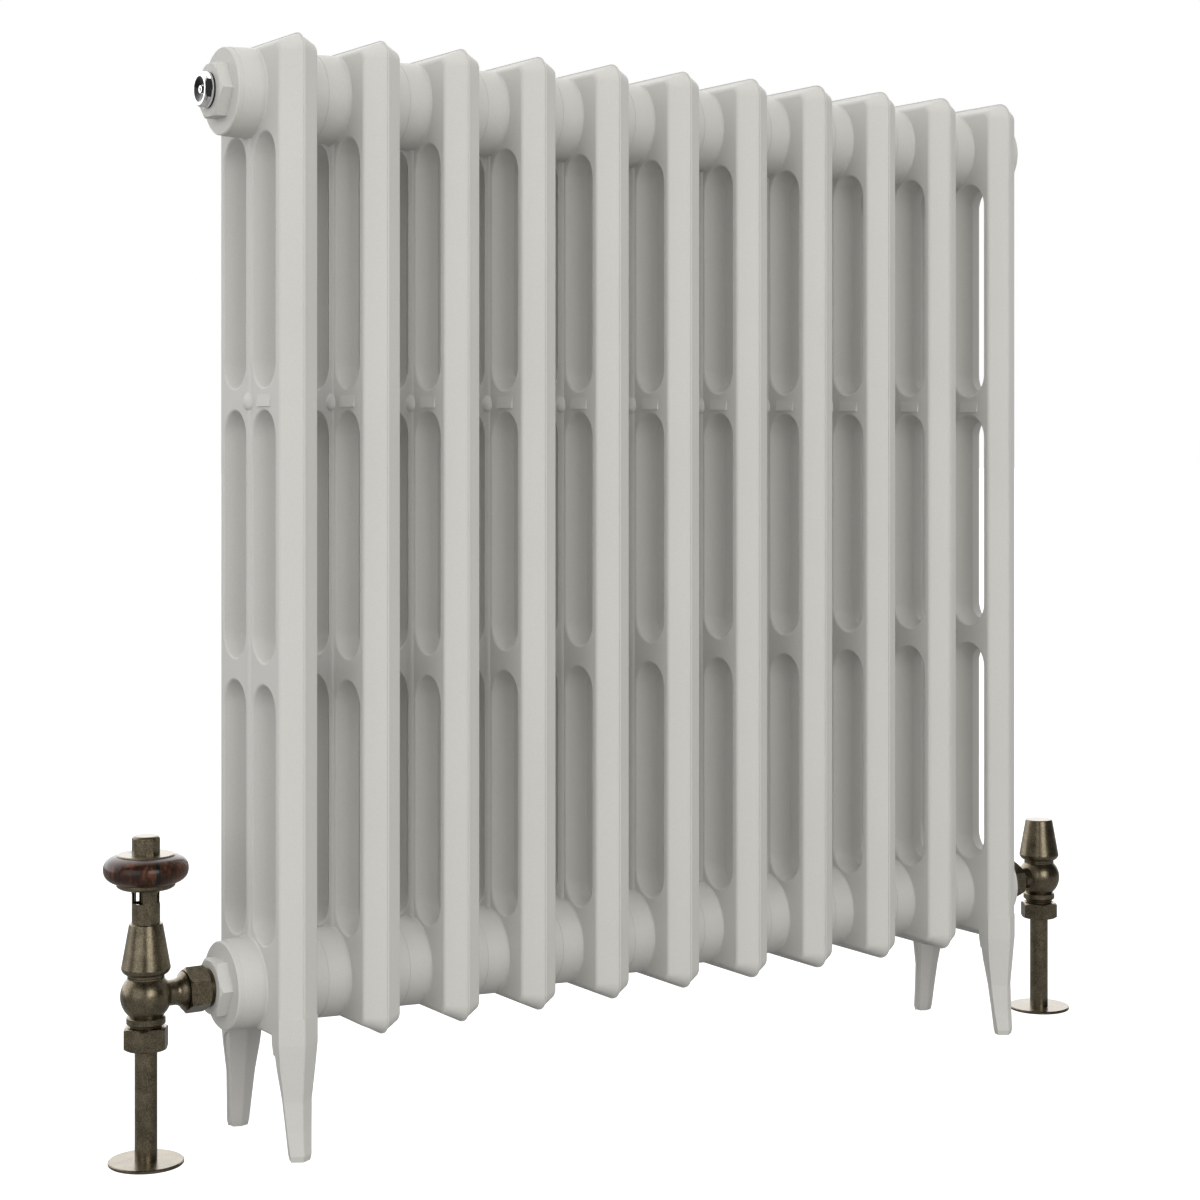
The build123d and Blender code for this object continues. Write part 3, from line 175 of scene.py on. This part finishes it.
def ramp(tree, value, *stops):
    """A colour ramp; each stop is a position and a colour."""
    made = tree.nodes.new("ShaderNodeValToRGB")
    elements = made.color_ramp.elements
    while len(elements) < len(stops):
        elements.new(0.5)
    for element, (position, colour) in zip(elements, stops):
        element.position = position
        element.color = (*colour, 1.0)
    link(tree, value, made.inputs["Fac"])
    return made.outputs["Color"]


def spread(tree, value, low, high, from_low=0.3, from_high=0.7):
    """Maps a value onto the range low to high."""
    made = tree.nodes.new("ShaderNodeMapRange")
    made.inputs["From Min"].default_value = from_low
    made.inputs["From Max"].default_value = from_high
    made.inputs["To Min"].default_value = low
    made.inputs["To Max"].default_value = high
    link(tree, value, made.inputs["Value"])
    return made.outputs["Result"]


def add_values(tree, first, second, weight):
    """first + second * weight."""
    made = tree.nodes.new("ShaderNodeMath")
    made.operation = "MULTIPLY_ADD"
    link(tree, second, made.inputs[0])
    made.inputs[1].default_value = weight
    link(tree, first, made.inputs[2])
    return made.outputs["Value"]


def vector_math(tree, operation, vector, *value):
    """A Vector Math node with a vector in, and a fixed second vector if one is given."""
    made = tree.nodes.new("ShaderNodeVectorMath")
    made.operation = operation
    link(tree, vector, made.inputs[0])
    for fixed in value:
        made.inputs[1].default_value = fixed
    return made


def offset_from(tree, point):
    """The part's own coordinates, in metres, measured from a point."""
    coords = tree.nodes.new("ShaderNodeTexCoord")
    return vector_math(tree, "SUBTRACT", coords.outputs["Object"], point).outputs["Vector"]


def pick(tree, chooser, when_no, when_yes, kind="FLOAT"):
    """when_no or when_yes, chosen by a 0 or 1 socket; each may be a value or a socket."""
    mix = tree.nodes.new("ShaderNodeMix")
    mix.data_type = kind
    first, second, result = MIX_SOCKETS[kind]
    link(tree, chooser, mix.inputs[0])
    for socket, value in ((mix.inputs[first], when_no), (mix.inputs[second], when_yes)):
        if isinstance(value, bpy.types.NodeSocket):
            link(tree, value, socket)
        else:
            socket.default_value = value
    return mix.outputs[result]


def bump(tree, height, distance, strength):
    """A bump normal from a height in units of distance."""
    made = node(tree, "ShaderNodeBump", Strength=strength, Distance=distance)
    link(tree, height, made.inputs["Height"])
    return made.outputs["Normal"]


def principled(tree, **values):
    """A Principled shader wired to the material's output."""
    shader = node(tree, "ShaderNodeBsdfPrincipled", **values)
    output = tree.nodes.new("ShaderNodeOutputMaterial")
    link(tree, shader.outputs["BSDF"], output.inputs["Surface"])
    return shader


# ---------------------------------------------------------------- materials
def cast_paint(name):
    """Off-white satin paint over sand-cast iron: fine grain, very slight mottling."""
    material, tree = new_material(name)
    here = place(tree)
    grain = noise(tree, here, PAINT_GRAIN, 2.0, 0.6)
    peel = noise(tree, here, PAINT_PEEL)
    patch = noise(tree, here, PAINT_PATCH)
    mixed = add_values(tree, grain, patch, 0.35)
    colour = ramp(tree, mixed, (0.40, PAINT_DARK), (0.95, PAINT_LIGHT))
    shader = principled(tree, IOR=1.4)
    link(tree, colour, shader.inputs["Base Color"])
    link(tree, spread(tree, peel, 0.50, 0.60), shader.inputs["Roughness"])
    height = add_values(tree, peel, grain, 0.4)
    link(tree, bump(tree, height, COARSE_RELIEF, 0.8), shader.inputs["Normal"])
    return material


def antique_brass():
    """Dark bronzed brass: fine golden speckle under a thin clear lacquer."""
    material, tree = new_material("antique_brass")
    here = place(tree)
    patina = noise(tree, here, BRASS_PATINA, 3.0, 0.55)
    speckle = noise(tree, here, BRASS_SPECKLE, 2.0, 0.65)
    mixed = add_values(tree, speckle, patina, 0.5)
    stops = ((0.55, BRASS_DARK), (0.75, BRASS_MIDDLE), (1.00, BRASS_LIGHT))
    colour = ramp(tree, mixed, *stops)
    shader = principled(tree, Metallic=1.0, IOR=1.5, Coat_Weight=0.25, Coat_Roughness=0.15)
    link(tree, colour, shader.inputs["Base Color"])
    link(tree, spread(tree, mixed, 0.27, 0.36, 0.5, 0.9), shader.inputs["Roughness"])
    link(tree, bump(tree, speckle, FINE_RELIEF, 0.6), shader.inputs["Normal"])
    return material


def plain_metal(name, dark, light, metallic=1.0):
    """A machined metal with faint turning marks and staining."""
    material, tree = new_material(name)
    here = place(tree)
    stain = noise(tree, here, METAL_STAIN, 4.0, 0.6)
    lines = noise(tree, place(tree, (40.0, 40.0, 1.0)), METAL_LINES)
    colour = ramp(tree, stain, (0.35, dark), (0.65, light))
    shader = principled(tree, Metallic=metallic, IOR=1.5)
    link(tree, colour, shader.inputs["Base Color"])
    link(tree, spread(tree, lines, 0.28, 0.42), shader.inputs["Roughness"])
    link(tree, bump(tree, lines, FINE_RELIEF, 0.5), shader.inputs["Normal"])
    return material


def vent_rim(tree):
    """1 on the outside of the vent and on its bleed screw, 0 in the recess between, where a
    dark reflection is painted.
    """
    offset = offset_from(tree, middle_of(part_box("bleed_screw")))
    across = vector_math(tree, "MULTIPLY", offset, (0.0, 1.0, 1.0)).outputs["Vector"]
    radius = vector_math(tree, "LENGTH", across).outputs["Value"]
    outside = spread(tree, radius, 0.0, 1.0, VENT_RECESS_R - VENT_RECESS_EDGE, VENT_RECESS_R)
    screw = spread(tree, radius, 1.0, 0.0, VENT_SCREW_R, VENT_SCREW_R + VENT_SCREW_EDGE)
    return add_values(tree, outside, screw, 1.0)


def chrome():
    """Polished chrome plate with faint wipe marks, and a painted dark reflection in the recess
    of its end.
    """
    material, tree = new_material("chrome_plate")
    here = place(tree)
    haze = noise(tree, here, CHROME_HAZE, 3.0, 0.6)
    plate = ramp(tree, haze, (0.3, CHROME_DARK), (0.7, CHROME_LIGHT))
    # Painted dark reflection: the recess between the rim and the bleed screw is coloured near
    # black.
    painted_reflection = ramp(tree, haze, (0.3, PAINTED_RECESS_DARK), (0.7, PAINTED_RECESS_LIGHT))
    colour = pick(tree, vent_rim(tree), painted_reflection, plate, "RGBA")
    shader = principled(tree, Metallic=1.0, IOR=1.5)
    link(tree, colour, shader.inputs["Base Color"])
    link(tree, spread(tree, haze, 0.03, 0.07), shader.inputs["Roughness"])
    return material


def black_rubber():
    """Black rubber with a dull, slightly uneven surface."""
    material, tree = new_material("seal_rubber")
    here = place(tree)
    bloom = noise(tree, here, RUBBER_BLOOM, 3.0, 0.6)
    colour = ramp(tree, bloom, (0.35, RUBBER_DARK), (0.7, RUBBER_LIGHT))
    shader = principled(tree, IOR=1.45)
    link(tree, colour, shader.inputs["Base Color"])
    link(tree, spread(tree, bloom, 0.45, 0.65), shader.inputs["Roughness"])
    link(tree, bump(tree, bloom, COARSE_RELIEF, 0.6), shader.inputs["Normal"])
    return material


def wheel_stripe(tree):
    """1 inside the dark index stripe across the wheel's rim, 0 elsewhere."""
    axis = middle_of(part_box("wheel_crown"))
    offset = offset_from(tree, (axis.x, axis.y, 0.0))
    turn = math.radians(STRIPE_DEG)
    along = (math.cos(turn), math.sin(turn), 0.0)
    aside = (-math.sin(turn), math.cos(turn), 0.0)
    reach = vector_math(tree, "DOT_PRODUCT", offset, along).outputs["Value"]
    side = vector_math(tree, "DOT_PRODUCT", offset, aside).outputs["Value"]
    outwards = spread(tree, reach, 0.0, 1.0, STRIPE_FROM, STRIPE_FROM * 1.2)
    across = tree.nodes.new("ShaderNodeMath")
    across.operation = "ABSOLUTE"
    link(tree, side, across.inputs[0])
    edges = (STRIPE_HALF, STRIPE_HALF * STRIPE_EDGE)
    inside = spread(tree, across.outputs["Value"], 1.0, 0.0, *edges)
    both = tree.nodes.new("ShaderNodeMath")
    both.operation = "MULTIPLY"
    link(tree, outwards, both.inputs[0])
    link(tree, inside, both.inputs[1])
    return both.outputs["Value"]


def varnished_wood():
    """Dark reddish figured hardwood under a gloss varnish, with a dark index stripe."""
    material, tree = new_material("varnished_wood")
    streak = noise(tree, place(tree, (1.0, 1.0, 0.18)), WOOD_STREAK, 5.0, 0.62, 1.6)
    cloud = noise(tree, place(tree), WOOD_CLOUD, 3.0, 0.55, 0.8)
    mixed = add_values(tree, streak, cloud, 0.6)
    stops = ((0.58, WOOD_DARK), (0.78, WOOD_MIDDLE), (0.96, WOOD_LIGHT))
    colour = ramp(tree, mixed, *stops)
    striped = pick(tree, wheel_stripe(tree), colour, STRIPE_COLOUR, "RGBA")
    shader = principled(tree, IOR=1.35, Coat_Weight=0.30, Coat_Roughness=0.04, Coat_IOR=1.5)
    link(tree, striped, shader.inputs["Base Color"])
    link(tree, spread(tree, streak, 0.30, 0.42), shader.inputs["Roughness"])
    return material


MATERIAL_OF_SLOT = {
    "radiator_paint": cast_paint("cast_paint"),
    "nipple_iron": plain_metal("nipple_iron", IRON_DARK, IRON_LIGHT, 0.9),
    "painted_gasket": cast_paint("painted_gasket"),
    "vent_chrome": chrome(),
    "seal_rubber": black_rubber(),
    "antique_brass": antique_brass(),
    "plain_brass": plain_metal("plain_brass", OXIDE_DARK, OXIDE_LIGHT),
    "spring_steel": plain_metal("spring_steel", STEEL_DARK, STEEL_LIGHT),
    "varnished_wood": varnished_wood(),
}
for name, obj in NODES.items():
    obj.data.materials.clear()
    obj.data.materials.append(MATERIAL_OF_SLOT[SLOT_OF[name]])


# ---------------------------------------------------------------- floor, light and camera
def floor():
    """A plain pale floor that fades into the white backdrop and throws little light back."""
    half = FLOOR_HALF
    mesh = bpy.data.meshes.new("floor")
    corners = [(-half, -half, 0), (half, -half, 0), (half, half, 0), (-half, half, 0)]
    mesh.from_pydata(corners, [], [(0, 1, 2, 3)])
    obj = bpy.data.objects.new("floor", mesh)
    bpy.context.scene.collection.objects.link(obj)
    material, tree = new_material("pale_floor")
    tint = noise(tree, place(tree), FLOOR_TINT)
    colour = ramp(tree, tint, (0.4, FLOOR_DARK), (0.6, FLOOR_LIGHT))
    path = tree.nodes.new("ShaderNodeLightPath")
    shader = principled(tree, Roughness=0.9, IOR=1.3, Specular_IOR_Level=0.1)
    shader.inputs["Emission Color"].default_value = WHITE
    link(tree, colour, shader.inputs["Base Color"])
    glow = pick(tree, path.outputs["Is Camera Ray"], 0.0, 1.0)
    link(tree, glow, shader.inputs["Emission Strength"])
    mesh.materials.append(material)


def soft_light(name, where, target, side, power, tint=(1.0, 1.0, 1.0)):
    """A square softbox at a point, aimed at a target."""
    light = bpy.data.lights.new(name, "AREA")
    light.shape = "SQUARE"
    light.size = side
    light.energy = power
    light.color = tint
    obj = bpy.data.objects.new(name, light)
    obj.location = where
    aim = Vector(target) - Vector(where)
    obj.rotation_euler = aim.to_track_quat("-Z", "Y").to_euler()
    bpy.context.scene.collection.objects.link(obj)


def studio_world():
    """A white studio for soft light; shiny metal sees white behind and a dark room in front."""
    world = bpy.data.worlds.new("studio")
    bpy.context.scene.world = world
    world.use_nodes = True
    tree = world.node_tree
    tree.nodes.clear()
    coords = tree.nodes.new("ShaderNodeTexCoord")
    parts = tree.nodes.new("ShaderNodeSeparateXYZ")
    link(tree, coords.outputs["Generated"], parts.inputs["Vector"])
    path = tree.nodes.new("ShaderNodeLightPath")
    across = parts.outputs["Y"]
    reflected = spread(tree, across, ROOM_IN_METAL, BACKDROP_IN_METAL, 0.10, 0.60)
    ambient = spread(tree, parts.outputs["Z"], AMBIENT_LOW, AMBIENT_HIGH, -0.2, 0.9)
    level = pick(tree, path.outputs["Is Glossy Ray"], ambient, reflected)
    level = pick(tree, path.outputs["Is Camera Ray"], level, 1.0)
    background = tree.nodes.new("ShaderNodeBackground")
    background.inputs["Color"].default_value = WHITE
    link(tree, level, background.inputs["Strength"])
    output = tree.nodes.new("ShaderNodeOutputWorld")
    link(tree, background.outputs["Background"], output.inputs["Surface"])


def camera():
    """A level camera, framed with a vertical shift."""
    data = bpy.data.cameras.new("camera")
    data.sensor_width = CAMERA_SENSOR
    data.lens = CAMERA_LENS
    data.shift_y = CAMERA_SHIFT
    data.clip_end = CAMERA_REACH
    obj = bpy.data.objects.new("camera", data)
    obj.location = CAMERA_PLACE
    obj.rotation_euler = (math.radians(90.0), 0.0, math.radians(CAMERA_TURN_DEG))
    bpy.context.scene.collection.objects.link(obj)
    bpy.context.scene.camera = obj


floor()
studio_world()
middle = middle_of((cad_low, cad_high))
soft_light("key_softbox", KEY_PLACE, middle, KEY_SIDE, KEY_POWER, KEY_TINT)
soft_light("left_softbox", LEFT_PLACE, middle, LEFT_SIDE, LEFT_POWER)
camera()
bpy.context.scene.view_settings.view_transform = "Standard"
